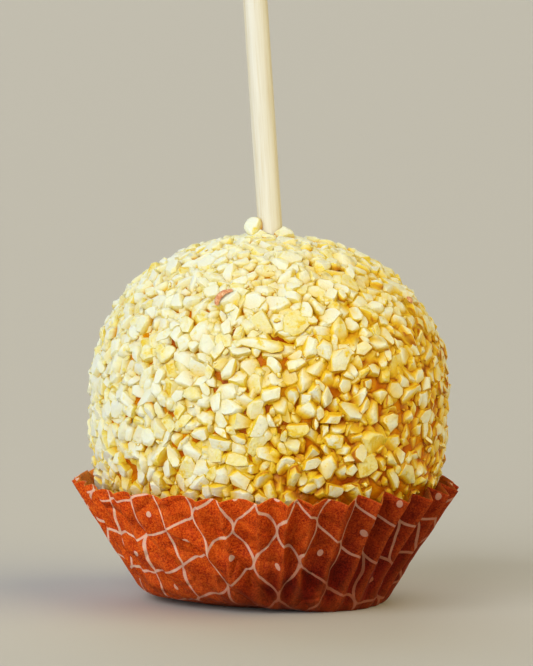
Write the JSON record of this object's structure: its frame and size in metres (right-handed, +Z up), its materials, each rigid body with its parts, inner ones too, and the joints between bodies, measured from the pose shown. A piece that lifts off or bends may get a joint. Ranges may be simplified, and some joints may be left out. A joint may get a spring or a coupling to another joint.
{
  "type": "caramel apple",
  "caption": "Caramel apple coated all over in chopped nuts, on a round wooden stick, standing in a flared pleated paper case.",
  "frame": {"origin": "middle of the paper case's foot, on the surface that it stands on", "axes": "+Z up through the apple, the front seen along +Y, and the stick leans towards -X"},
  "size_m": [0.095, 0.095, 0.1698],
  "materials": {
    "case_paper": "matt greaseproof paper, printed outside with fine pale lines",
    "chopped_nuts": "dry, cut nut flesh with a slight oily sheen",
    "caramel": "glossy amber caramel",
    "nut_skin": "dry papery skin left on a few nuts",
    "stick_wood": "bare pale birch, sanded"
  },
  "bodies": {
    "root": {"paper_case": "case_paper", "coated_apple": "chopped_nuts", "wooden_stick": "stick_wood"}
  },
  "joints": []
}
